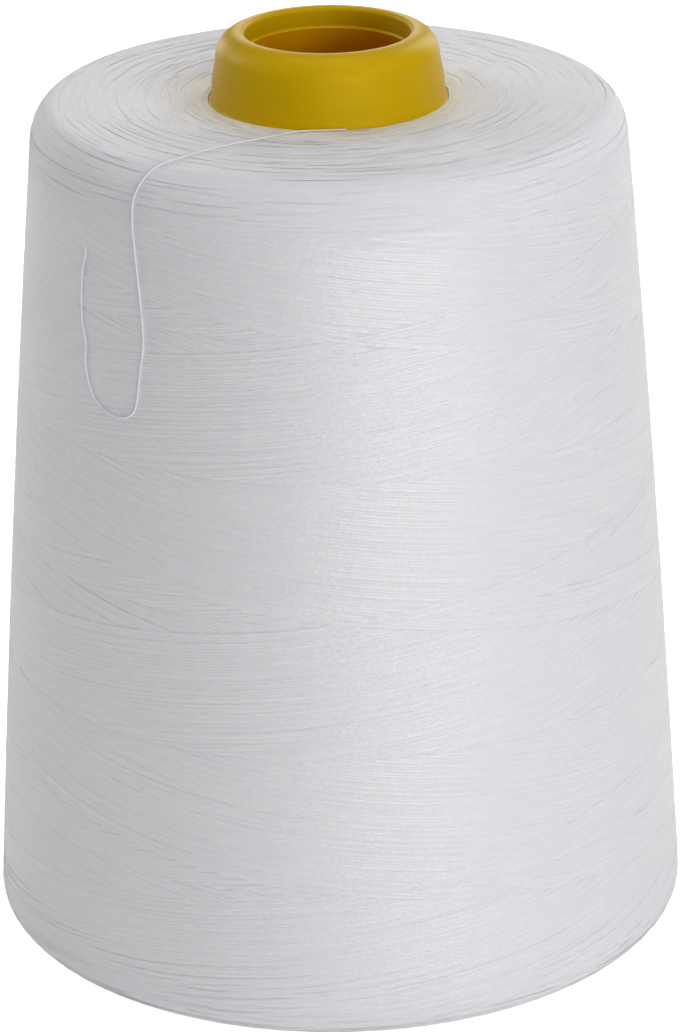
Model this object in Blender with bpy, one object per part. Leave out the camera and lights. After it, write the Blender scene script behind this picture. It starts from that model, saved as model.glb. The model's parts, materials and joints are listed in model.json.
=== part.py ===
"""Cone of thread: a tapered plastic winding cone, the cross-wound thread on it, and its free end.

Metres, +Z up. The origin lies on the cone's axis, in the plane of the ring that it stands on.
-Y is the side where the free end of the thread lies on the winding.
"""

import math

import bmesh
import bpy
from mathutils import Vector

# Shared by every piece
GAP = 0.0003
SEGMENTS = 60
TAPER = math.tan(math.radians(4 + 20 / 60))

# Plastic core: a standard 170 mm winding cone of 4 degrees 20 minutes
CORE_HEIGHT = 0.170
CORE_WALL = 0.0023
SHOULDER_RADIUS = 0.0212
SHOULDER_HEIGHT = 0.1577
SHOULDER_STEP = 0.0004
COVE_HEIGHT = 0.0036
NOSE_TOP_RADIUS = 0.0198
RIM_ROUND_HEIGHT = 0.0047
MOUTH_RADIUS = 0.0146
MOUTH_DEPTH = 0.0028
MOUTH_LIP_ROUND = 0.0009
LEDGE_WIDTH = 0.0005
LEDGE_DROP = 0.0002
THROAT_LENGTH = 0.0145
FOOT_CHAMFER = 0.0004

# Wound thread
WINDING_UNDERSIDE = 0.0034
WINDING_HEIGHT = 0.1545
BOTTOM_RADIUS = 0.0640
TOP_RADIUS = 0.0531
BELLY = 0.0005
BOTTOM_ROUND = (0.0056, 0.0044)
TOP_ROUND = (0.0049, 0.0078)
TOP_CROWN = 0.0004
SIDE_ROWS = 24
CORNER_STEPS = 6
CAP_STEPS = 3

# The thread climbs and falls by the same height a turn, so its turns lie in ribbons that cross.
# Two ribbons cross at this bearing and height, and each makes the side faintly uneven.
CLIMB_PER_TURN = 0.050
CROSSING_BEARING = math.radians(-90)
CROSSING_HEIGHT = 0.0803
RIBBON_HEIGHT = 0.00013
RIBBON_FADE = 0.012

# Free end of the thread
THREAD_DIAMETER = 0.00034
LOOSE_END_POINTS = 76
LOOSE_END_LIFT = THREAD_DIAMETER / 2 + GAP + 0.00006

# Its route over the winding: the bearing in degrees about the axis, from +X towards +Y, and the
# reach in metres along the surface from the core, over the top and down the side
LOOSE_END_ROUTE = (
    (-82.0, 0.0004),
    (-92.3, 0.0005),
    (-103.5, 0.0019),
    (-112.8, 0.0075),
    (-119.7, 0.0141),
    (-123.5, 0.0208),
    (-125.6, 0.0276),
    (-127.5, 0.0316),
    (-128.5, 0.0350),
    (-128.6, 0.0388),
    (-127.6, 0.0445),
    (-126.6, 0.0502),
    (-125.7, 0.0556),
    (-125.4, 0.0596),
    (-126.0, 0.0645),
    (-126.4, 0.0690),
    (-127.3, 0.0717),
    (-129.4, 0.0731),
    (-132.0, 0.0733),
    (-134.5, 0.0727),
    (-136.9, 0.0712),
    (-138.6, 0.0687),
    (-139.6, 0.0655),
    (-139.7, 0.0620),
    (-140.9, 0.0584),
    (-141.4, 0.0541),
    (-141.4, 0.0495),
    (-140.7, 0.0471),
    (-140.7, 0.0454),
)

THREAD_WHITE = (0.78, 0.78, 0.79, 1.0)
CORE_YELLOW = (0.51, 0.32, 0.012, 1.0)


def clear_scene():
    for item in list(bpy.data.objects):
        bpy.data.objects.remove(item, do_unlink=True)


def plain_material(name, colour, roughness):
    material = bpy.data.materials.new(name)
    material.use_nodes = True
    shader = material.node_tree.nodes["Principled BSDF"]
    shader.inputs["Base Color"].default_value = colour
    shader.inputs["Roughness"].default_value = roughness
    shader.inputs["Metallic"].default_value = 0.0
    material.diffuse_color = colour
    return material


def arc(centre, radii, start, end, steps):
    """Points (radius, height) along part of an ellipse, with the angles in degrees."""
    points = []
    for step in range(steps + 1):
        angle = math.radians(start + (end - start) * step / steps)
        points.append((centre[0] + radii[0] * math.cos(angle), centre[1] + radii[1] * math.sin(angle)))
    return points


# ---- plastic core ----------------------------------------------------------------------------

def core_radius(height):
    """The outer radius of the tapered wall that the thread is wound on."""
    return SHOULDER_RADIUS + (SHOULDER_HEIGHT - height) * TAPER


def core_section():
    """The closed half section of the core, foot first, then up the outside and down the bore."""
    foot_radius = core_radius(0.0)
    foot_bore = foot_radius - CORE_WALL
    nose_base = SHOULDER_HEIGHT + COVE_HEIGHT
    nose_base_radius = core_radius(nose_base) - SHOULDER_STEP
    nose_round_base = CORE_HEIGHT - RIM_ROUND_HEIGHT
    rim_centre = MOUTH_RADIUS + MOUTH_LIP_ROUND
    throat_radius = MOUTH_RADIUS - LEDGE_WIDTH
    ledge_height = CORE_HEIGHT - MOUTH_LIP_ROUND - MOUTH_DEPTH
    throat_base = ledge_height - THROAT_LENGTH

    section = [
        (foot_bore + FOOT_CHAMFER, 0.0),
        (foot_radius - FOOT_CHAMFER, 0.0),
        (core_radius(FOOT_CHAMFER), FOOT_CHAMFER),
    ]
    cove_centre = (SHOULDER_RADIUS, nose_base)
    cove = arc(cove_centre, (SHOULDER_RADIUS - nose_base_radius, COVE_HEIGHT), 270, 180, 4)
    section.extend(cove)
    rim_width = NOSE_TOP_RADIUS - rim_centre
    section.extend(arc((rim_centre, nose_round_base), (rim_width, RIM_ROUND_HEIGHT), 0, 90, 7))
    lip_centre = (rim_centre, CORE_HEIGHT - MOUTH_LIP_ROUND)
    section.extend(arc(lip_centre, (MOUTH_LIP_ROUND, MOUTH_LIP_ROUND), 90, 180, 3)[1:])
    section.append((MOUTH_RADIUS, ledge_height + LEDGE_DROP))
    section.append((throat_radius, ledge_height))
    section.append((core_radius(throat_base) - CORE_WALL, throat_base))
    section.append((foot_bore, FOOT_CHAMFER))
    return section


# ---- wound thread ----------------------------------------------------------------------------

def side_radius(share):
    """The winding's radius on its side, where share runs from 0 at the bottom to 1 at the top."""
    straight = BOTTOM_RADIUS + (TOP_RADIUS - BOTTOM_RADIUS) * share
    return straight + BELLY * 4 * share * (1 - share)


def winding_outline():
    """The open outline (radius, height): from the core over the top, down the side and under."""
    top = WINDING_UNDERSIDE + WINDING_HEIGHT
    inner_top = core_radius(top) + GAP
    inner_bottom = core_radius(WINDING_UNDERSIDE) + GAP
    crown_end = TOP_RADIUS - TOP_ROUND[0]
    side_top = top - TOP_ROUND[1]
    side_bottom = WINDING_UNDERSIDE + BOTTOM_ROUND[1]

    outline = []
    for step in range(CAP_STEPS):
        share = step / CAP_STEPS
        radius = inner_top + (crown_end - inner_top) * share
        outline.append((radius, top + TOP_CROWN * math.sin(math.pi * share)))
    outline.extend(arc((crown_end, side_top), TOP_ROUND, 90, 0, CORNER_STEPS))
    for row in range(1, SIDE_ROWS):
        share = 1 - row / SIDE_ROWS
        outline.append((side_radius(share), side_bottom + (side_top - side_bottom) * share))
    bottom_centre = (BOTTOM_RADIUS - BOTTOM_ROUND[0], side_bottom)
    outline.extend(arc(bottom_centre, BOTTOM_ROUND, 0, -90, CORNER_STEPS))
    outline.append((inner_bottom, WINDING_UNDERSIDE))
    return outline


def ribbon_relief(bearing, height):
    """How far the ribbons of crossing turns lift the side, fading out towards both shoulders."""
    from_bottom = height - (WINDING_UNDERSIDE + BOTTOM_ROUND[1])
    from_top = WINDING_UNDERSIDE + WINDING_HEIGHT - TOP_ROUND[1] - height
    fade = max(0.0, min(1.0, from_bottom / RIBBON_FADE, from_top / RIBBON_FADE))
    turn = bearing - CROSSING_BEARING
    climb = math.tau * (height - CROSSING_HEIGHT) / CLIMB_PER_TURN
    relief = RIBBON_HEIGHT * (math.cos(turn - climb) + math.cos(turn + climb))
    return relief * fade


def spread_by_ribbons(vertex):
    radius = math.hypot(vertex.co.x, vertex.co.y)
    bearing = math.atan2(vertex.co.y, vertex.co.x)
    spread = 1 + ribbon_relief(bearing, vertex.co.z) / radius
    vertex.co.x *= spread
    vertex.co.y *= spread


# ---- solids ----------------------------------------------------------------------------------

def turned_solid(name, section, material, adjust=None):
    """Spin a closed half section about the Z axis; adjust may then move each outer vertex."""
    mesh = bpy.data.meshes.new(name)
    solid = bmesh.new()
    loop = [solid.verts.new((radius, 0.0, height)) for radius, height in section]
    edges = [solid.edges.new((loop[index - 1], loop[index])) for index in range(len(loop))]
    bmesh.ops.spin(
        solid,
        geom=loop + edges,
        cent=(0, 0, 0),
        axis=(0, 0, 1),
        angle=math.tau,
        steps=SEGMENTS,
        use_merge=True,
    )
    if adjust is not None:
        for vertex in solid.verts:
            if math.hypot(vertex.co.x, vertex.co.y) > core_radius(vertex.co.z) + 2 * GAP:
                adjust(vertex)
    bmesh.ops.recalc_face_normals(solid, faces=solid.faces)
    solid.to_mesh(mesh)
    solid.free()
    mesh.shade_smooth()
    mesh.set_sharp_from_angle(angle=math.radians(40))
    mesh.materials.append(material)
    item = bpy.data.objects.new(name, mesh)
    bpy.context.scene.collection.objects.link(item)
    return item


# ---- free end of the thread ------------------------------------------------------------------

def smooth_value(values, position):
    """A Catmull-Rom curve through the values, read at a position counted in values."""
    index = min(int(position), len(values) - 2)
    local = position - index
    before = values[max(index - 1, 0)]
    start = values[index]
    end = values[index + 1]
    after = values[min(index + 2, len(values) - 1)]
    return 0.5 * (
        2 * start
        + (end - before) * local
        + (2 * before - 5 * start + 4 * end - after) * local**2
        + (3 * start - before - 3 * end + after) * local**3
    )


def outline_at_reach(outline, reach):
    """The point of the outline that lies this far along it, and the outward normal there."""
    for (radius, height), (next_radius, next_height) in zip(outline, outline[1:]):
        length = math.hypot(next_radius - radius, next_height - height)
        if reach <= length:
            break
        reach -= length
    share = reach / length
    point = (radius + (next_radius - radius) * share, height + (next_height - height) * share)
    normal = ((height - next_height) / length, (next_radius - radius) / length)
    return point, normal


def over_winding(outline, bearing, reach):
    """The point at this bearing and reach, lifted off the winding by the thread's own room."""
    point, normal = outline_at_reach(outline, reach)
    relief = max(0.0, ribbon_relief(bearing, point[1]))
    radius = point[0] + relief + normal[0] * LOOSE_END_LIFT
    height = point[1] + normal[1] * LOOSE_END_LIFT
    return Vector((radius * math.cos(bearing), radius * math.sin(bearing), height))


def loose_end_path():
    """Evenly spread points on a smooth curve through the route."""
    outline = winding_outline()
    bearings = [math.radians(bearing) for bearing, reach in LOOSE_END_ROUTE]
    reaches = [reach for bearing, reach in LOOSE_END_ROUTE]
    fine_steps = 40 * (len(LOOSE_END_ROUTE) - 1)
    fine = []
    for step in range(fine_steps + 1):
        position = step / 40
        bearing = smooth_value(bearings, position)
        fine.append(over_winding(outline, bearing, smooth_value(reaches, position)))
    travelled = [0.0]
    for start, end in zip(fine, fine[1:]):
        travelled.append(travelled[-1] + (end - start).length)

    path = []
    index = 0
    for step in range(LOOSE_END_POINTS):
        target = travelled[-1] * step / (LOOSE_END_POINTS - 1)
        while index < len(fine) - 2 and travelled[index + 1] < target:
            index += 1
        share = (target - travelled[index]) / (travelled[index + 1] - travelled[index])
        path.append(fine[index].lerp(fine[index + 1], share))
    return path


def thread_tube(name, path, material):
    """A round thread along the path, closed at both ends."""
    curve = bpy.data.curves.new(name, "CURVE")
    curve.dimensions = "3D"
    curve.bevel_depth = THREAD_DIAMETER / 2
    curve.bevel_resolution = 2
    curve.use_fill_caps = True
    spline = curve.splines.new("POLY")
    spline.points.add(len(path) - 1)
    for point, place in zip(spline.points, path):
        point.co = (place.x, place.y, place.z, 1.0)
    curve.materials.append(material)
    item = bpy.data.objects.new(name, curve)
    bpy.context.scene.collection.objects.link(item)
    return item


def main():
    clear_scene()
    core_plastic = plain_material("core_plastic", CORE_YELLOW, 0.38)
    thread = plain_material("thread", THREAD_WHITE, 0.75)
    turned_solid("core_tube", core_section(), core_plastic)
    turned_solid("thread_winding", winding_outline(), thread, spread_by_ribbons)
    thread_tube("loose_end", loose_end_path(), thread)


main()
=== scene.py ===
"""Looks for the cone of thread: the winding's outer turns as separate threads, the moulded core and
the free end, in a plain bright studio. Metres, +Z up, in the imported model's own frame."""

import json
import math

import bpy
import numpy as np
from mathutils import Euler, Matrix, Vector

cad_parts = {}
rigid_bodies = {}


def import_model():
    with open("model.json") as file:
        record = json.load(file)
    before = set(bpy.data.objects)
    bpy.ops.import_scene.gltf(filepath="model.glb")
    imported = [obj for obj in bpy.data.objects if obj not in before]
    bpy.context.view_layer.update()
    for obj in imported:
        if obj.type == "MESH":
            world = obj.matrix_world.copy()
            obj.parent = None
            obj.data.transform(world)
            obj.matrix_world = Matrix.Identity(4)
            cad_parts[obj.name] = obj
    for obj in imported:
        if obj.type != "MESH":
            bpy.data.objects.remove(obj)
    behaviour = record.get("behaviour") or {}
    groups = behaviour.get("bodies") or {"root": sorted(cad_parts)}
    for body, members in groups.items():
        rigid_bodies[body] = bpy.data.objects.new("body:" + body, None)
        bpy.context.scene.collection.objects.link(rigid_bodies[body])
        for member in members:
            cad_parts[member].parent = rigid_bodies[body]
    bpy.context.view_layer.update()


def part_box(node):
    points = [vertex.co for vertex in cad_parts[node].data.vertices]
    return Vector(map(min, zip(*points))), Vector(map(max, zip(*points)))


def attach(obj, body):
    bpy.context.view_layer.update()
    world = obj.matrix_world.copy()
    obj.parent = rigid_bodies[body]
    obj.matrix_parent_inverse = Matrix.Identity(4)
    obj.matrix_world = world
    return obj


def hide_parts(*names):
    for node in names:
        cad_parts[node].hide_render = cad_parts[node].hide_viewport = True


for item in list(bpy.data.objects):
    bpy.data.objects.remove(item, do_unlink=True)
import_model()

RANDOM = np.random.default_rng(20)

# ---- sizes shared with the part ----------------------------------------------------------------
CORE_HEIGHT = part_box("core_tube")[1].z
TAPER = math.tan(math.radians(4 + 20 / 60))
CORE_WALL = 0.0023
SHOULDER_RADIUS = 0.0212
SHOULDER_HEIGHT = 0.1577
SHOULDER_STEP = 0.0004
COVE_HEIGHT = 0.0036
NOSE_TOP_RADIUS = 0.0198
RIM_ROUND_HEIGHT = 0.0047
MOUTH_RADIUS = 0.0146
MOUTH_DEPTH = 0.0028
MOUTH_LIP_ROUND = 0.0009
LEDGE_WIDTH = 0.0003
LEDGE_DROP = 0.0002
LEDGE_EDGE = 0.0001
THROAT_LENGTH = 0.0145
FOOT_CHAMFER = 0.0004

WINDING_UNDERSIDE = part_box("thread_winding")[0].z
WINDING_HEIGHT = 0.1545
BOTTOM_RADIUS = 0.0640
TOP_RADIUS = 0.0531
BELLY = 0.0005
BOTTOM_ROUND = (0.0056, 0.0044)
TOP_ROUND = (0.0049, 0.0078)
TOP_CROWN = 0.0004
CORE_CLEARANCE = 0.0001

THREAD_DIAMETER = 0.00034
LOOSE_END_ROUTE = (
    (-82.0, 0.0004),
    (-92.3, 0.0005),
    (-103.5, 0.0019),
    (-112.8, 0.0075),
    (-119.7, 0.0141),
    (-123.5, 0.0208),
    (-125.6, 0.0276),
    (-127.5, 0.0316),
    (-128.5, 0.0350),
    (-128.6, 0.0388),
    (-127.6, 0.0445),
    (-126.6, 0.0502),
    (-125.7, 0.0556),
    (-125.4, 0.0596),
    (-126.0, 0.0645),
    (-126.4, 0.0690),
    (-127.3, 0.0717),
    (-129.4, 0.0731),
    (-132.0, 0.0733),
    (-134.5, 0.0727),
    (-136.9, 0.0712),
    (-138.6, 0.0687),
    (-139.6, 0.0655),
    (-139.7, 0.0620),
    (-140.9, 0.0584),
    (-141.4, 0.0541),
    (-141.4, 0.0495),
    (-140.7, 0.0471),
    (-140.7, 0.0454),
)

# ---- how the thread is wound -------------------------------------------------------------------
STROKES = 93                     # double strokes in the outermost layer of the winding
TURNS_PER_STROKE = 3
STROKE_TOP_MARGIN = 0.0062       # from the side's upper end to where a stroke would turn sharply
STROKE_BOTTOM_MARGIN = 0.0012
REVERSAL_TURNS = 0.05            # how softly a stroke turns back
REVERSAL_SPREAD = 0.0013         # how much the turning places of the strokes differ
REVERSAL_STRETCH = 0.12          # the part of a turn beside its reversal that shifts with it
CROSSING_STROKES = 4             # strokes over which a turn goes from under its neighbours to over
FIRST_BEARING = math.radians(90)
TURN_WIDTH = 0.00080
TURN_THICKNESS = 0.00015
TURN_ROUNDNESS = 0.42            # how far the shading of a turn follows its own roundness
TURN_SIDES = 5
SEGMENT_LENGTH = 0.0040
TURN_WANDER = 0.00003            # how unevenly the turns are spaced
LIFT_WANDER = 0.00002            # how unevenly high they lie
CAP_PITCH = 0.00042
CAP_SEGMENT = 0.0034
UNDERSIDE_SEGMENT = 0.005
CAP_EDGE = 0.0002                # from the core to a cap's nearest turn, before its scatter
CAP_REACHES_DOWN_SIDE = 0.004    # how far the top's turns go on past the shoulder
CAP_REACHES_UP_SIDE = 0.002      # and the underside's past the bottom round
TOP_PASSES = 2
UNDERSIDE_PASSES = 1
CAP_TURN_WIDTH = 0.00050
CAP_TURN_ROUNDNESS = 0.09
CAP_DIP = 0.12                   # the share of a turn's end over which it dips under its neighbours
CAP_DIP_DEPTH = 0.00025
CAP_OVERLAP_DROP = 0.0002        # how far the side's turns go down under the cap's at the shoulder
CAP_OVERLAP_FADE = 0.004         # the stretch over which they go down
CAP_ARC_OVERLAP = 0.15           # radians by which each end of a cap's turn passes its neighbour's
CAP_SLOPE = 0.0012               # typical drift across the cap, in metres a radian
CAP_SCATTER = 0.0002
CAP_WAVER = 0.00013
CAP_BEND = 0.0003
CAP_LIFTS = (-0.00003, 0.00001)
BODY_SINK = 0.2                  # how far the solid body lies under the turns, in turn thicknesses
SURFACE_MARGIN = 0.0003          # how close cap turns and fibres come to the core
FIBRES = 3000
FIBRE_STEPS = 4
FIBRE_DIAMETER = 0.000028
FIBRE_LENGTHS = (0.0008, 0.0026)
FIBRE_RISES = (0.08, 0.35)       # how far a fibre stands out, as a share of its length

# ---- small helpers -----------------------------------------------------------------------------


def arc(centre, radii, start, end, steps):
    angles = np.radians(np.linspace(start, end, steps + 1))
    return np.column_stack((centre[0] + radii[0] * np.cos(angles), centre[1] + radii[1] * np.sin(angles)))


def core_radius(height):
    return SHOULDER_RADIUS + (SHOULDER_HEIGHT - height) * TAPER


def winding_outline():
    """The winding's outline (radius, height), from the core over the top, down and under."""
    top = WINDING_UNDERSIDE + WINDING_HEIGHT
    inner_top = core_radius(top) + CORE_CLEARANCE
    inner_bottom = core_radius(WINDING_UNDERSIDE) + CORE_CLEARANCE
    crown_end = TOP_RADIUS - TOP_ROUND[0]
    side_top = top - TOP_ROUND[1]
    side_bottom = WINDING_UNDERSIDE + BOTTOM_ROUND[1]
    across = np.linspace(0, 1, 60)[:-1]
    crown = np.column_stack(
        (inner_top + (crown_end - inner_top) * across, top + TOP_CROWN * np.sin(math.pi * across))
    )
    shoulder = arc((crown_end, side_top), TOP_ROUND, 90, 0, 60)
    share = np.linspace(1, 0, 300)[1:-1]
    radius = BOTTOM_RADIUS + (TOP_RADIUS - BOTTOM_RADIUS) * share + BELLY * 4 * share * (1 - share)
    side = np.column_stack((radius, side_bottom + (side_top - side_bottom) * share))
    heel = arc((BOTTOM_RADIUS - BOTTOM_ROUND[0], side_bottom), BOTTOM_ROUND, 0, -90, 60)
    under = np.linspace(0, 1, 40)[1:]
    underside = np.column_stack(
        (heel[-1, 0] + (inner_bottom - heel[-1, 0]) * under, np.full(len(under), WINDING_UNDERSIDE))
    )
    ends = np.cumsum([len(crown), len(shoulder), len(side), len(heel)])
    return np.vstack((crown, shoulder, side, heel, underside)), ends


class Surface:
    """The winding's surface by bearing and by reach, the distance outward from the core along it."""

    def __init__(self):
        self.points, ends = winding_outline()
        steps = np.linalg.norm(np.diff(self.points, axis=0), axis=1)
        self.reach = np.concatenate(([0.0], np.cumsum(steps)))
        along = np.gradient(self.points, self.reach, axis=0)
        along /= np.linalg.norm(along, axis=1)[:, None]
        self.normals = np.column_stack((-along[:, 1], along[:, 0]))
        self.crown_end = self.reach[ends[0]]
        self.side_top = self.reach[ends[1] - 1]
        self.side_bottom = self.reach[ends[2]]
        self.heel_end = self.reach[ends[3] - 1]
        self.end = self.reach[-1]

    def outline(self, reach):
        radius = np.interp(reach, self.reach, self.points[:, 0])
        height = np.interp(reach, self.reach, self.points[:, 1])
        out = np.interp(reach, self.reach, self.normals[:, 0])
        up = np.interp(reach, self.reach, self.normals[:, 1])
        return radius, height, out, up

    def place(self, bearing, reach, lift):
        """Points and outward normals at these bearings and reaches, lifted off the surface."""
        radius, height, out, up = self.outline(reach)
        cosine, sine = np.cos(bearing), np.sin(bearing)
        radius = radius + lift * out
        points = np.column_stack((radius * cosine, radius * sine, height + lift * up))
        normals = np.column_stack((out * cosine, out * sine, up))
        return points, normals


SURFACE = Surface()


def smoothstep(value):
    value = np.clip(value, 0.0, 1.0)
    return value * value * (3 - 2 * value)


def wander(count, knots, size):
    """A smooth random line of this many values."""
    values = RANDOM.normal(0.0, size, knots + 3)
    position = np.linspace(0, knots, count)
    index = np.minimum(position.astype(int), knots - 1)
    local = position - index
    a, b, c, d = values[index], values[index + 1], values[index + 2], values[index + 3]
    return (
        a * (1 - local) ** 3
        + b * (3 * local**3 - 6 * local**2 + 4)
        + c * (-3 * local**3 + 3 * local**2 + 3 * local + 1)
        + d * local**3
    ) / 6


def link(item):
    bpy.context.scene.collection.objects.link(item)
    return item


def mesh_object(name, vertices, faces, uvs=None, caps=None, normals=None):
    """A smooth mesh from an array of quads and, if given, a few rings that close its ends."""
    mesh = bpy.data.meshes.new(name)
    faces = np.asarray(faces, np.int32)
    caps = np.zeros((0, TURN_SIDES), np.int32) if caps is None else np.asarray(caps, np.int32)
    loops = np.concatenate((faces.ravel(), caps.ravel()))
    sizes = np.concatenate((np.full(len(faces), 4), np.full(len(caps), caps.shape[1])))
    starts = np.concatenate(([0], np.cumsum(sizes)[:-1])).astype(np.int32)
    mesh.vertices.add(len(vertices))
    mesh.vertices.foreach_set("co", np.asarray(vertices, np.float32).ravel())
    mesh.loops.add(len(loops))
    mesh.loops.foreach_set("vertex_index", loops)
    mesh.polygons.add(len(sizes))
    mesh.polygons.foreach_set("loop_start", starts)
    if uvs is not None:
        layer = mesh.uv_layers.new(name="thread")
        layer.data.foreach_set("uv", np.asarray(uvs, np.float32).ravel())
    mesh.update(calc_edges=True)
    mesh.shade_smooth()
    mesh.validate()
    if normals is not None:
        mesh.normals_split_custom_set_from_vertices(normals)
    return link(bpy.data.objects.new(name, mesh))


def lathe(name, section, segments):
    """A closed turned solid from a closed section (radius, height)."""
    section = np.asarray(section)
    angles = np.linspace(0, math.tau, segments, endpoint=False)
    rings = len(section)
    radius, height = section[:, 0], section[:, 1]
    vertices = np.stack(
        (
            np.outer(np.cos(angles), radius),
            np.outer(np.sin(angles), radius),
            np.tile(height, (segments, 1)),
        ),
        axis=-1,
    ).reshape(-1, 3)
    turn, step = np.meshgrid(np.arange(segments), np.arange(rings), indexing="ij")
    next_turn, next_step = (turn + 1) % segments, (step + 1) % rings
    faces = np.stack(
        (
            turn * rings + step,
            next_turn * rings + step,
            next_turn * rings + next_step,
            turn * rings + next_step,
        ),
        axis=-1,
    ).reshape(-1, 4)
    return mesh_object(name, vertices, faces)


# ---- camera ------------------------------------------------------------------------------------
CAMERA_PLACE = Vector((0.0009, -0.7156, 0.3701))
CAMERA_LOOKS_DOWN = math.radians(22.25)
CAMERA_ROLL = math.radians(0.887)
CAMERA_LENS = 146.3


def make_camera():
    data = bpy.data.cameras.new("camera")
    data.lens = CAMERA_LENS
    data.sensor_width = 36.0
    data.clip_start = 0.05
    data.clip_end = 50.0
    camera = link(bpy.data.objects.new("camera", data))
    camera.rotation_mode = "QUATERNION"
    camera.location = CAMERA_PLACE
    level = Euler((math.radians(90) - CAMERA_LOOKS_DOWN, 0, 0)).to_matrix()
    camera.rotation_quaternion = (level @ Matrix.Rotation(-CAMERA_ROLL, 3, "Z")).to_quaternion()
    bpy.context.scene.camera = camera


# ---- loose end ---------------------------------------------------------------------------------
LOOSE_END_LIFT = THREAD_DIAMETER / 2 + 0.00004


def catmull_rom(values, position):
    index = np.minimum(position.astype(int), len(values) - 2)
    local = position - index
    before = values[np.maximum(index - 1, 0)]
    start, end = values[index], values[index + 1]
    after = values[np.minimum(index + 2, len(values) - 1)]
    return 0.5 * (
        2 * start
        + (end - before) * local
        + (2 * before - 5 * start + 4 * end - after) * local**2
        + (3 * start - before - 3 * end + after) * local**3
    )


def make_loose_end(material):
    route = np.array(LOOSE_END_ROUTE)
    position = np.linspace(0, len(route) - 1, 8 * (len(route) - 1) + 1)
    bearing = np.radians(catmull_rom(route[:, 0], position))
    reach = catmull_rom(route[:, 1], position)
    points, normals = SURFACE.place(bearing, reach, LOOSE_END_LIFT)
    curve = bpy.data.curves.new("loose_thread", "CURVE")
    curve.dimensions = "3D"
    curve.bevel_depth = THREAD_DIAMETER / 2
    curve.bevel_resolution = 3
    curve.use_fill_caps = True
    spline = curve.splines.new("POLY")
    spline.points.add(len(points) - 1)
    for point, place in zip(spline.points, points):
        point.co = (*place, 1.0)
    spline.use_smooth = True
    curve.materials.append(material)
    piece = link(bpy.data.objects.new("loose_thread", curve))
    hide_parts("loose_end")
    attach(piece, "root")


# ---- turns of thread ---------------------------------------------------------------------------


class Tubes:
    """Gathers flattened tubes of thread, and makes one mesh of them."""

    def __init__(self, width, thickness, roundness):
        self.width = width
        self.thickness = thickness
        self.roundness = roundness
        self.vertices, self.normals, self.faces, self.caps, self.uvs = [], [], [], [], []
        self.count = 0

    def add(self, bearing, reach, lift):
        points, normals = SURFACE.place(bearing, reach, lift)
        along = np.gradient(points, axis=0)
        along /= np.linalg.norm(along, axis=1)[:, None]
        across = np.cross(along, normals)
        across /= np.linalg.norm(across, axis=1)[:, None]
        outward = np.cross(across, along)
        angles = math.pi / 2 + np.arange(TURN_SIDES) * math.tau / TURN_SIDES
        sideways = self.width / 2 * np.cos(angles)
        upwards = self.thickness / 2 * np.sin(angles)
        rings = (
            points[:, None, :]
            + sideways[None, :, None] * across[:, None, :]
            + upwards[None, :, None] * outward[:, None, :]
        )
        count = len(points)
        index = self.count + np.arange(count * TURN_SIDES).reshape(count, TURN_SIDES)
        step = np.roll(index, -1, axis=1)
        faces = np.stack((index[:-1], index[1:], step[1:], step[:-1]), axis=-1)
        length = np.concatenate(([0.0], np.cumsum(np.linalg.norm(np.diff(points, axis=0), axis=1))))
        length += RANDOM.uniform(0, 0.5)
        near, far = length[:-1, None], length[1:, None]
        side = np.arange(TURN_SIDES)[None, :] / TURN_SIDES
        low, high = np.broadcast_to(side, (count - 1, TURN_SIDES)), side + 1 / TURN_SIDES
        high = np.broadcast_to(high, (count - 1, TURN_SIDES))
        near, far = np.broadcast_to(near, low.shape), np.broadcast_to(far, low.shape)
        uvs = np.stack((near, low, far, low, far, high, near, high), axis=-1)
        sideways_tilt = self.roundness * np.cos(angles)
        rounded = outward[:, None, :] + sideways_tilt[None, :, None] * across[:, None, :]
        rounded /= np.linalg.norm(rounded, axis=2)[:, :, None]
        self.vertices.append(rings.reshape(-1, 3))
        self.normals.append(rounded.reshape(-1, 3))
        self.faces.append(faces.reshape(-1, 4))
        self.uvs.append(uvs.reshape(-1, 2))
        self.caps.extend((index[0], index[-1][::-1]))
        self.count += count * TURN_SIDES

    def finish(self, name, material):
        caps = np.array(self.caps)
        uvs = np.vstack(self.uvs + [np.zeros((caps.size, 2))])
        vertices, normals = np.vstack(self.vertices), np.vstack(self.normals)
        piece = mesh_object(name, vertices, np.vstack(self.faces), uvs, caps, normals)
        piece.data.materials.append(material)
        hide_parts("thread_winding")
        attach(piece, "root")


STROKE_START = SURFACE.side_top - STROKE_TOP_MARGIN
STROKE_END = SURFACE.side_bottom + STROKE_BOTTOM_MARGIN
CLIMB_PER_TURN = (STROKE_END - STROKE_START) / TURNS_PER_STROKE
# The lifts of a turn where it passes over and where it passes under the ones that it crosses.
OVER = -TURN_THICKNESS / 2
UNDER = OVER - TURN_THICKNESS


def down_age(bearing, reach):
    """How late, from 0 to 1, the falling turn at this place was laid."""
    return np.mod((FIRST_BEARING - bearing) / math.tau + (reach - STROKE_START) / CLIMB_PER_TURN, 1.0)


def up_age(bearing, reach):
    """How late, from 0 to 1, the rising turn at this place was laid."""
    return np.mod((FIRST_BEARING - bearing) / math.tau + (STROKE_END - reach) / CLIMB_PER_TURN, 1.0)


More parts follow.
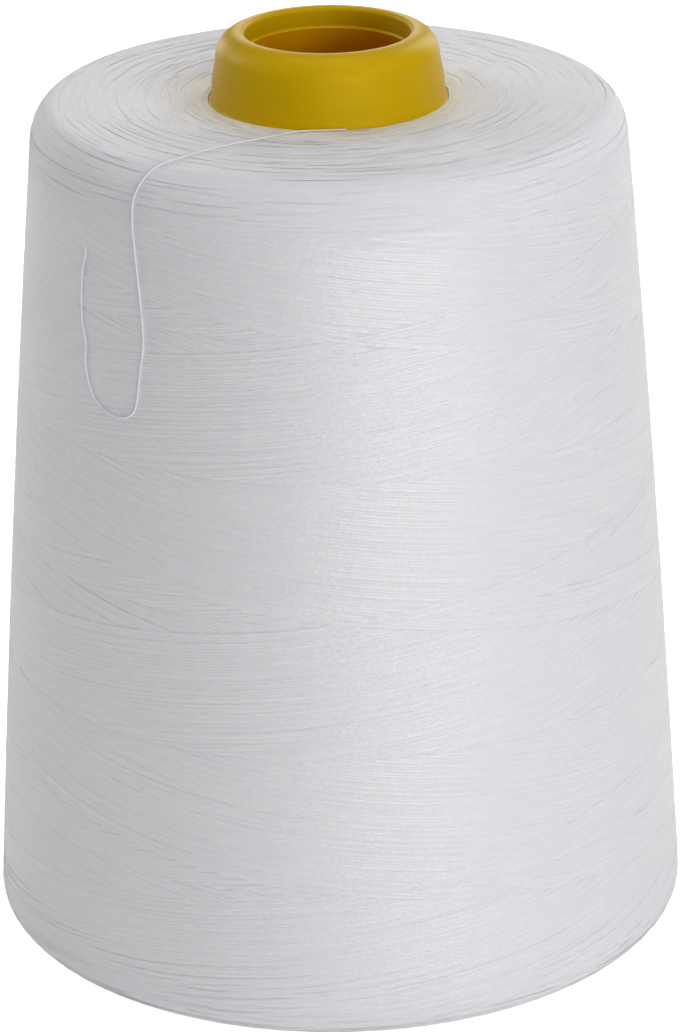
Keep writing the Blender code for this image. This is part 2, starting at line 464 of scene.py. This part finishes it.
def double_stroke(number):
    """Bearings, reaches and lifts of one stroke down the side and back up."""
    age = (number + 0.5) / STROKES
    total = 2 * TURNS_PER_STROKE
    mean_radius = (BOTTOM_RADIUS + TOP_RADIUS) / 2
    count = int(total * math.tau * mean_radius / SEGMENT_LENGTH)
    turn = np.linspace(0.0, total, count)
    bearing = FIRST_BEARING - math.tau * age + math.tau * turn
    from_bottom = np.abs(turn - TURNS_PER_STROKE)
    from_top = np.minimum(turn, total - turn)
    soft = REVERSAL_TURNS
    reach = STROKE_START + CLIMB_PER_TURN * (np.sqrt(from_top**2 + soft**2))
    below = STROKE_END - CLIMB_PER_TURN * (np.sqrt(from_bottom**2 + soft**2))
    reach = np.where(from_top < from_bottom, reach, below)
    reach += RANDOM.normal(0, REVERSAL_SPREAD) * np.exp(-((from_top / REVERSAL_STRETCH) ** 2))
    reach += RANDOM.normal(0, REVERSAL_SPREAD) * np.exp(-((from_bottom / REVERSAL_STRETCH) ** 2))
    reach += wander(count, 40, TURN_WANDER * 2) + RANDOM.normal(0, TURN_WANDER)
    falling = turn < TURNS_PER_STROKE
    crossed = np.where(falling, up_age(bearing, reach), down_age(bearing, reach))
    above = smoothstep(0.5 + (age - crossed) * STROKES / CROSSING_STROKES)
    lift = UNDER + (OVER - UNDER) * above + wander(count, 90, LIFT_WANDER)
    lift -= CAP_OVERLAP_DROP * smoothstep(0.5 + (SURFACE.side_top - reach) / CAP_OVERLAP_FADE)
    return bearing, reach, lift


def make_side_turns(material):
    pieces = 4
    for part in range(pieces):
        tubes = Tubes(TURN_WIDTH, TURN_THICKNESS, TURN_ROUNDNESS)
        for number in range(part * STROKES // pieces, (part + 1) * STROKES // pieces):
            tubes.add(*double_stroke(number))
        tubes.finish(f"side_turns_{part + 1}", material)


def cap_arc(tubes, middle, start, sweep, slope, lift, segment):
    """One turn's end: a nearly level stretch round the cap that dips under its neighbours."""
    radius = SURFACE.outline(middle)[0]
    count = max(8, int(radius * sweep / segment))
    share = np.linspace(0, 1, count)
    bearing = start + sweep * share
    bend = RANDOM.normal(0, CAP_BEND) * np.sin(math.pi * share)
    reach = middle + slope * (share - 0.5) + bend + wander(count, max(3, count // 7), CAP_WAVER)
    reach = np.clip(reach, SURFACE_MARGIN, SURFACE.end - SURFACE_MARGIN)
    dip = np.minimum(share, 1 - share) / CAP_DIP
    lift = lift + wander(count, max(3, count // 8), LIFT_WANDER)
    lift = lift - CAP_DIP_DEPTH * (1 - smoothstep(dip))
    tubes.add(bearing, reach, lift)


def make_cap_turns(name, first, last, passes, segment, material):
    """Ends of turns all over a cap, laid in passes that each cross the one before at a slight angle."""
    tubes = Tubes(CAP_TURN_WIDTH, TURN_THICKNESS, CAP_TURN_ROUNDNESS)
    for number in range(passes):
        reach = first + CAP_PITCH * number / passes
        while reach < last:
            start = RANDOM.uniform(0, math.tau)
            arcs = RANDOM.integers(3, 7)
            shares = RANDOM.dirichlet(np.full(arcs, 5.0)) * math.tau
            for sweep in shares:
                slope = RANDOM.normal(0, CAP_SLOPE) * sweep
                middle = reach + RANDOM.normal(0, CAP_SCATTER)
                lift = OVER + RANDOM.uniform(*CAP_LIFTS)
                first_bearing = start - CAP_ARC_OVERLAP
                whole_sweep = sweep + 2 * CAP_ARC_OVERLAP
                cap_arc(tubes, middle, first_bearing, whole_sweep, slope, lift, segment)
                start += sweep
            reach += CAP_PITCH
    tubes.finish(name, material)


def make_fuzz(material):
    """Short fibres that stand out of the turns."""
    vertices, faces, caps = [], [], []
    sides = 3
    for number in range(FIBRES):
        bearing = RANDOM.uniform(0, math.tau)
        reach = SURFACE.end * RANDOM.uniform(0, 1)
        lean = RANDOM.uniform(-0.5, 0.5) + math.pi * RANDOM.integers(0, 2)
        length = RANDOM.uniform(*FIBRE_LENGTHS)
        rise = length * RANDOM.uniform(*FIBRE_RISES)
        share = np.linspace(0, 1, FIBRE_STEPS + 1)
        radius = SURFACE.outline(reach)[0]
        curl = RANDOM.uniform(-0.6, 0.6)
        heading = lean + curl * share
        travel = length * share
        points, normals = SURFACE.place(
            bearing + travel * np.cos(heading) / radius,
            np.clip(reach + travel * np.sin(heading), SURFACE_MARGIN, SURFACE.end - SURFACE_MARGIN),
            OVER + rise * np.sin(math.pi * 0.75 * share),
        )
        along = np.gradient(points, axis=0)
        along /= np.linalg.norm(along, axis=1)[:, None]
        across = np.cross(along, normals)
        across /= np.linalg.norm(across, axis=1)[:, None]
        outward = np.cross(across, along)
        angles = np.arange(sides) * math.tau / sides
        width = FIBRE_DIAMETER / 2 * (1 - 0.5 * share)
        rings = points[:, None, :] + width[:, None, None] * (
            np.cos(angles)[None, :, None] * across[:, None, :]
            + np.sin(angles)[None, :, None] * outward[:, None, :]
        )
        index = number * len(points) * sides + np.arange(len(points) * sides).reshape(-1, sides)
        step = np.roll(index, -1, axis=1)
        vertices.append(rings.reshape(-1, 3))
        faces.append(np.stack((index[:-1], index[1:], step[1:], step[:-1]), axis=-1).reshape(-1, 4))
        caps.extend((index[0], index[-1][::-1]))
    piece = mesh_object("fuzz", np.vstack(vertices), np.vstack(faces), caps=np.array(caps))
    piece.data.materials.append(material)
    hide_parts("thread_winding")
    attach(piece, "root")


def make_winding_body(material):
    """The layers of thread below the turns that show, as one solid."""
    body_lift = OVER - TURN_THICKNESS * BODY_SINK
    reach = np.linspace(0, SURFACE.end, 150)
    radius, height, out, up = SURFACE.outline(reach)
    section = np.column_stack((radius + out * body_lift, height + up * body_lift))
    section[0, 0] = core_radius(section[0, 1]) + CORE_CLEARANCE
    section[-1, 0] = core_radius(section[-1, 1]) + CORE_CLEARANCE
    piece = lathe("winding_body", section[::-1], 180)
    piece.data.materials.append(material)
    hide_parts("thread_winding")
    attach(piece, "root")


# ---- core --------------------------------------------------------------------------------------


def core_section():
    foot_radius = core_radius(0.0)
    foot_bore = foot_radius - CORE_WALL
    nose_base = SHOULDER_HEIGHT + COVE_HEIGHT
    nose_base_radius = core_radius(nose_base) - SHOULDER_STEP
    nose_round_base = CORE_HEIGHT - RIM_ROUND_HEIGHT
    rim_centre = MOUTH_RADIUS + MOUTH_LIP_ROUND
    throat_radius = MOUTH_RADIUS - LEDGE_WIDTH
    ledge_height = CORE_HEIGHT - MOUTH_LIP_ROUND - MOUTH_DEPTH
    throat_base = ledge_height - THROAT_LENGTH
    throat_base_radius = core_radius(throat_base) - CORE_WALL
    foot = [
        (foot_bore + FOOT_CHAMFER, 0.0),
        (foot_radius - FOOT_CHAMFER, 0.0),
        (core_radius(FOOT_CHAMFER), FOOT_CHAMFER),
    ]
    wall = [(core_radius(height), height) for height in np.linspace(0.004, 0.154, 12)]
    cove = arc((SHOULDER_RADIUS, nose_base), (SHOULDER_RADIUS - nose_base_radius, COVE_HEIGHT), 270, 180, 10)
    rim = arc((rim_centre, nose_round_base), (NOSE_TOP_RADIUS - rim_centre, RIM_ROUND_HEIGHT), 0, 90, 18)
    lip = arc((rim_centre, CORE_HEIGHT - MOUTH_LIP_ROUND), (MOUTH_LIP_ROUND, MOUTH_LIP_ROUND), 90, 180, 8)[1:]
    ledge = [
        (MOUTH_RADIUS, ledge_height + LEDGE_DROP + LEDGE_EDGE),
        (MOUTH_RADIUS - LEDGE_EDGE, ledge_height + LEDGE_DROP),
        (throat_radius + LEDGE_EDGE, ledge_height),
        (throat_radius, ledge_height - LEDGE_EDGE),
    ]
    throat = [
        (throat_radius + (throat_base_radius - throat_radius) * share, ledge_height - THROAT_LENGTH * share)
        for share in np.linspace(0.04, 1, 10)
    ]
    bore = [(core_radius(height) - CORE_WALL, height) for height in np.linspace(0.148, 0.004, 12)]
    bore.append((foot_bore, FOOT_CHAMFER))
    return np.vstack((foot, wall, cove, rim, lip, ledge, throat, bore))


def make_core(material, bore_painted_light_material):
    piece = lathe("core_moulding", core_section(), 144)
    piece.data.set_sharp_from_angle(angle=math.radians(35))
    piece.data.materials.append(material)
    piece.data.materials.append(bore_painted_light_material)
    # The bore's inner faces below the mouth get a brighter, more orange copy of the plastic: painted light
    # standing in for light bounced round inside the bore.
    for face in piece.data.polygons:
        inward = face.normal.x * face.center.x + face.normal.y * face.center.y < 0
        below_mouth = face.center.z < CORE_HEIGHT - MOUTH_LIP_ROUND - MOUTH_DEPTH
        face.material_index = int(inward and below_mouth)
    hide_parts("core_tube")
    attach(piece, "root")


# ---- materials ---------------------------------------------------------------------------------


def new_material(name):
    material = bpy.data.materials.new(name)
    material.use_nodes = True
    tree = material.node_tree
    return material, tree, tree.nodes["Principled BSDF"]


def thread_material(name, gloss, sheen, twist_depth, along_turns=True):
    """White spun thread: faint changes of tone along each turn, fibres twisted round it, and painted shade
    with a painted yellow reflection of the core, darker and yellower where it lies close to the core."""
    material, tree, shader = new_material(name)
    nodes, links = tree.nodes, tree.links
    shader.inputs["Roughness"].default_value = 0.60 - 0.29 * gloss
    shader.inputs["Sheen Weight"].default_value = sheen
    shader.inputs["Sheen Roughness"].default_value = 0.4
    shader.inputs["Specular IOR Level"].default_value = 0.15 + 0.80 * gloss
    place = nodes.new("ShaderNodeTexCoord")
    if along_turns:
        lengthwise = nodes.new("ShaderNodeUVMap")
        lengthwise.uv_map = "thread"
        spot = lengthwise.outputs["UV"]
    else:
        spot = place.outputs["Object"]
    tone_scale = nodes.new("ShaderNodeMapping")
    tone_scale.inputs["Scale"].default_value = (70.0, 0.6, 1.0)
    tone = nodes.new("ShaderNodeTexNoise")
    tone.inputs["Scale"].default_value = 1.0
    tone.inputs["Detail"].default_value = 3.0
    ramp = nodes.new("ShaderNodeValToRGB")
    ramp.color_ramp.elements[0].position = 0.30
    ramp.color_ramp.elements[0].color = (0.825, 0.825, 0.860, 1)
    ramp.color_ramp.elements[1].position = 0.70
    ramp.color_ramp.elements[1].color = (0.875, 0.870, 0.900, 1)
    level = nodes.new("ShaderNodeVectorMath")
    level.operation = "MULTIPLY"
    level.inputs[1].default_value = (1.0, 1.0, 0.0)
    radius = nodes.new("ShaderNodeVectorMath")
    radius.operation = "LENGTH"
    # Painted shade and painted yellow light reflected from the core: the thread's colour is mixed towards a
    # darker, yellower white, up to 75 %, as its distance from the axis falls from 32 mm to 21 mm.
    painted_core_light_mask = nodes.new("ShaderNodeMapRange")
    painted_core_light_mask.interpolation_type = "SMOOTHSTEP"
    painted_core_light_mask.inputs["From Min"].default_value = 0.0320
    painted_core_light_mask.inputs["From Max"].default_value = 0.0210
    painted_core_light_mask.inputs["To Max"].default_value = 0.75
    painted_core_light_and_shade = nodes.new("ShaderNodeMixRGB")
    painted_core_light_and_shade.inputs["Color2"].default_value = (0.74, 0.71, 0.60, 1)
    twist_scale = nodes.new("ShaderNodeMapping")
    twist_scale.inputs["Scale"].default_value = (1000.0, 2.0, 1.0)
    twist = nodes.new("ShaderNodeTexNoise")
    twist.inputs["Scale"].default_value = 1.0
    twist.inputs["Detail"].default_value = 2.0
    bump = nodes.new("ShaderNodeBump")
    bump.inputs["Strength"].default_value = 0.5
    bump.inputs["Distance"].default_value = twist_depth
    links.new(spot, tone_scale.inputs["Vector"])
    links.new(tone_scale.outputs["Vector"], tone.inputs["Vector"])
    links.new(tone.outputs["Fac"], ramp.inputs["Fac"])
    links.new(place.outputs["Object"], level.inputs[0])
    links.new(level.outputs["Vector"], radius.inputs[0])
    links.new(radius.outputs["Value"], painted_core_light_mask.inputs["Value"])
    links.new(painted_core_light_mask.outputs["Result"], painted_core_light_and_shade.inputs["Fac"])
    links.new(ramp.outputs["Color"], painted_core_light_and_shade.inputs["Color1"])
    links.new(painted_core_light_and_shade.outputs["Color"], shader.inputs["Base Color"])
    links.new(spot, twist_scale.inputs["Vector"])
    links.new(twist_scale.outputs["Vector"], twist.inputs["Vector"])
    links.new(twist.outputs["Fac"], bump.inputs["Height"])
    links.new(bump.outputs["Normal"], shader.inputs["Normal"])
    return material


def core_material(name, low, high):
    """Moulded plastic, with a faint cloudiness and a slightly uneven gloss."""
    material, tree, shader = new_material(name)
    nodes, links = tree.nodes, tree.links
    shader.inputs["Specular IOR Level"].default_value = 0.25
    shader.inputs["Specular Tint"].default_value = (1.0, 1.0, 0.2, 1)
    place = nodes.new("ShaderNodeTexCoord")
    noise = nodes.new("ShaderNodeTexNoise")
    noise.inputs["Scale"].default_value = 60.0
    noise.inputs["Detail"].default_value = 4.0
    ramp = nodes.new("ShaderNodeValToRGB")
    ramp.color_ramp.elements[0].position = 0.3
    ramp.color_ramp.elements[0].color = (*low, 1)
    ramp.color_ramp.elements[1].position = 0.7
    ramp.color_ramp.elements[1].color = (*high, 1)
    gloss = nodes.new("ShaderNodeMapRange")
    gloss.inputs["To Min"].default_value = 0.36
    gloss.inputs["To Max"].default_value = 0.48
    fine = nodes.new("ShaderNodeTexNoise")
    fine.inputs["Scale"].default_value = 900.0
    bump = nodes.new("ShaderNodeBump")
    bump.inputs["Strength"].default_value = 0.15
    bump.inputs["Distance"].default_value = 0.00005
    links.new(place.outputs["Object"], noise.inputs["Vector"])
    links.new(noise.outputs["Fac"], ramp.inputs["Fac"])
    links.new(ramp.outputs["Color"], shader.inputs["Base Color"])
    links.new(noise.outputs["Fac"], gloss.inputs["Value"])
    links.new(gloss.outputs["Result"], shader.inputs["Roughness"])
    links.new(place.outputs["Object"], fine.inputs["Vector"])
    links.new(fine.outputs["Fac"], bump.inputs["Height"])
    links.new(bump.outputs["Normal"], shader.inputs["Normal"])
    return material


def floor_material():
    """Matt white that the camera sees lit up like a photographer's light table."""
    material, tree, shader = new_material("floor")
    nodes, links = tree.nodes, tree.links
    shader.inputs["Base Color"].default_value = (0.9, 0.9, 0.9, 1)
    shader.inputs["Roughness"].default_value = 0.9
    path = nodes.new("ShaderNodeLightPath")
    level = nodes.new("ShaderNodeMapRange")
    level.inputs["To Min"].default_value = 0.09
    level.inputs["To Max"].default_value = 0.85
    glow = nodes.new("ShaderNodeEmission")
    lit = nodes.new("ShaderNodeAddShader")
    links.new(path.outputs["Is Camera Ray"], level.inputs["Value"])
    links.new(level.outputs["Result"], glow.inputs["Strength"])
    links.new(shader.outputs["BSDF"], lit.inputs[0])
    links.new(glow.outputs["Emission"], lit.inputs[1])
    links.new(lit.outputs["Shader"], nodes["Material Output"].inputs["Surface"])
    return material


# ---- studio ------------------------------------------------------------------------------------
FLOOR_SIDE = 12.0
LIGHT_DISTANCE = 1.6
LIGHTS_AIM = (0, 0, 0.085)       # the middle of the cone


def make_floor():
    mesh = bpy.data.meshes.new("floor")
    half = FLOOR_SIDE / 2
    corners = [(-half, -half, 0), (half, -half, 0), (half, half, 0), (-half, half, 0)]
    mesh.from_pydata(corners, [], [(0, 1, 2, 3)])
    floor = link(bpy.data.objects.new("floor", mesh))
    floor.data.materials.append(floor_material())


def area_light(name, azimuth, elevation, size, power):
    """A soft box seen from the object at this azimuth, 0 towards the camera and 90 to its right."""
    data = bpy.data.lights.new(name, "AREA")
    data.shape = "RECTANGLE"
    data.size, data.size_y = size
    data.energy = power
    light = link(bpy.data.objects.new(name, data))
    turn, rise = math.radians(azimuth), math.radians(elevation)
    direction = Vector((math.sin(turn) * math.cos(rise), -math.cos(turn) * math.cos(rise), math.sin(rise)))
    light.location = Vector(LIGHTS_AIM) + direction * LIGHT_DISTANCE
    light.rotation_mode = "QUATERNION"
    light.rotation_quaternion = direction.to_track_quat("Z", "Y")
    light.visible_camera = False


def make_world():
    world = bpy.data.worlds.new("studio")
    world.use_nodes = True
    tree = world.node_tree
    nodes, links = tree.nodes, tree.links
    background = nodes["Background"]
    background.inputs["Color"].default_value = (1, 1, 1, 1)
    background.inputs["Strength"].default_value = 0.02
    seen = nodes.new("ShaderNodeBackground")
    seen.inputs["Color"].default_value = (1, 1, 1, 1)
    seen.inputs["Strength"].default_value = 1.0
    path = nodes.new("ShaderNodeLightPath")
    mix = nodes.new("ShaderNodeMixShader")
    links.new(path.outputs["Is Camera Ray"], mix.inputs["Fac"])
    links.new(background.outputs["Background"], mix.inputs[1])
    links.new(seen.outputs["Background"], mix.inputs[2])
    links.new(mix.outputs["Shader"], nodes["World Output"].inputs["Surface"])
    bpy.context.scene.world = world


# name, azimuth and elevation in degrees, width and height in metres, power in watts
LIGHTS = (
    ("key", 34, 10, (0.7, 0.6), 5.7),
    ("front", 9, 12, (0.35, 0.6), 3.9),
    ("right", 65, 36, (0.6, 0.6), 3.9),
    ("top", 0, 88, (1.2, 1.2), 10.0),
    ("rim_left", -115, 24, (0.5, 0.8), 5.6),
    ("back_left", -150, 8, (0.4, 0.6), 2.6),
    ("rim_right", 145, 28, (0.5, 0.6), 4.2),
    ("back_right", 150, 8, (0.4, 0.6), 2.2),
    ("back", 180, 18, (0.6, 0.6), 3.0),
)


def make_lights():
    for name, azimuth, elevation, size, power in LIGHTS:
        area_light(name, azimuth, elevation, size, power)


def main():
    bpy.context.scene.view_settings.view_transform = "Standard"
    make_camera()
    side_thread = thread_material("thread", gloss=1.0, sheen=0.15, twist_depth=0.0004)
    cap_thread = thread_material("cap_thread", gloss=0.0, sheen=0.45, twist_depth=0.00025)
    plain_thread = thread_material(
        "plain_thread", gloss=0.3, sheen=0.3, twist_depth=0.0001, along_turns=False
    )
    make_loose_end(plain_thread)
    make_winding_body(plain_thread)
    make_side_turns(side_thread)
    top = (CAP_EDGE, SURFACE.side_top + CAP_REACHES_DOWN_SIDE)
    make_cap_turns("top_turns", *top, TOP_PASSES, CAP_SEGMENT, cap_thread)
    underside = (SURFACE.side_bottom - CAP_REACHES_UP_SIDE, SURFACE.end - CAP_EDGE)
    make_cap_turns("underside_turns", *underside, UNDERSIDE_PASSES, UNDERSIDE_SEGMENT, cap_thread)
    make_fuzz(plain_thread)
    make_core(
        core_material("core_plastic", low=(0.63, 0.390, 0.001), high=(0.69, 0.430, 0.002)),
        # the bore's copy is brighter and more orange: painted light bounced round inside the bore
        core_material("core_plastic_bore_painted_light", low=(0.93, 0.49, 0.004), high=(0.97, 0.53, 0.006)),
    )
    make_floor()
    make_world()
    make_lights()


main()
